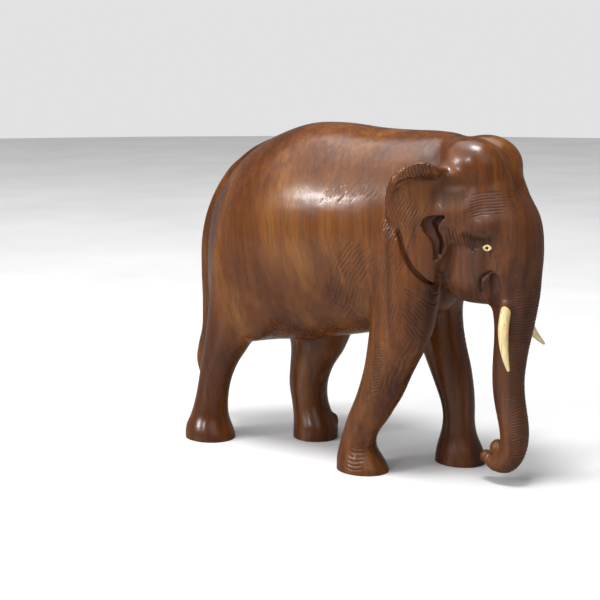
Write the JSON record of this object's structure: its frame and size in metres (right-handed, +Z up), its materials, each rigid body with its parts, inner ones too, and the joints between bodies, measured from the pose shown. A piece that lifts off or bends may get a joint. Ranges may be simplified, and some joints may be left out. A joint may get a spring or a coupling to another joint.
{
  "type": "carved wooden elephant figurine",
  "caption": "Hardwood elephant carved in a walking pose with its trunk hanging down, with inlaid bone tusks and eyes; stands on its flat soles as a shelf ornament.",
  "frame": {"origin": "on the plane the soles stand on, under the middle of the bounding box", "axes": "+X towards the way the elephant faces, +Y towards its left side, +Z up"},
  "size_m": [0.2276, 0.0847, 0.1849],
  "materials": {
    "wood": "reddish brown hardwood with long straight grain under a glossy clear polish",
    "bone": "cream-yellow bone or resin, satin polish",
    "dark_inlay": "near-black polished pin"
  },
  "bodies": {
    "root": {"wood_body": "wood", "tusk_right": "bone", "tusk_left": "bone", "eye_right": "bone", "eye_left": "bone", "pupil_right": "dark_inlay", "pupil_left": "dark_inlay"}
  },
  "joints": []
}
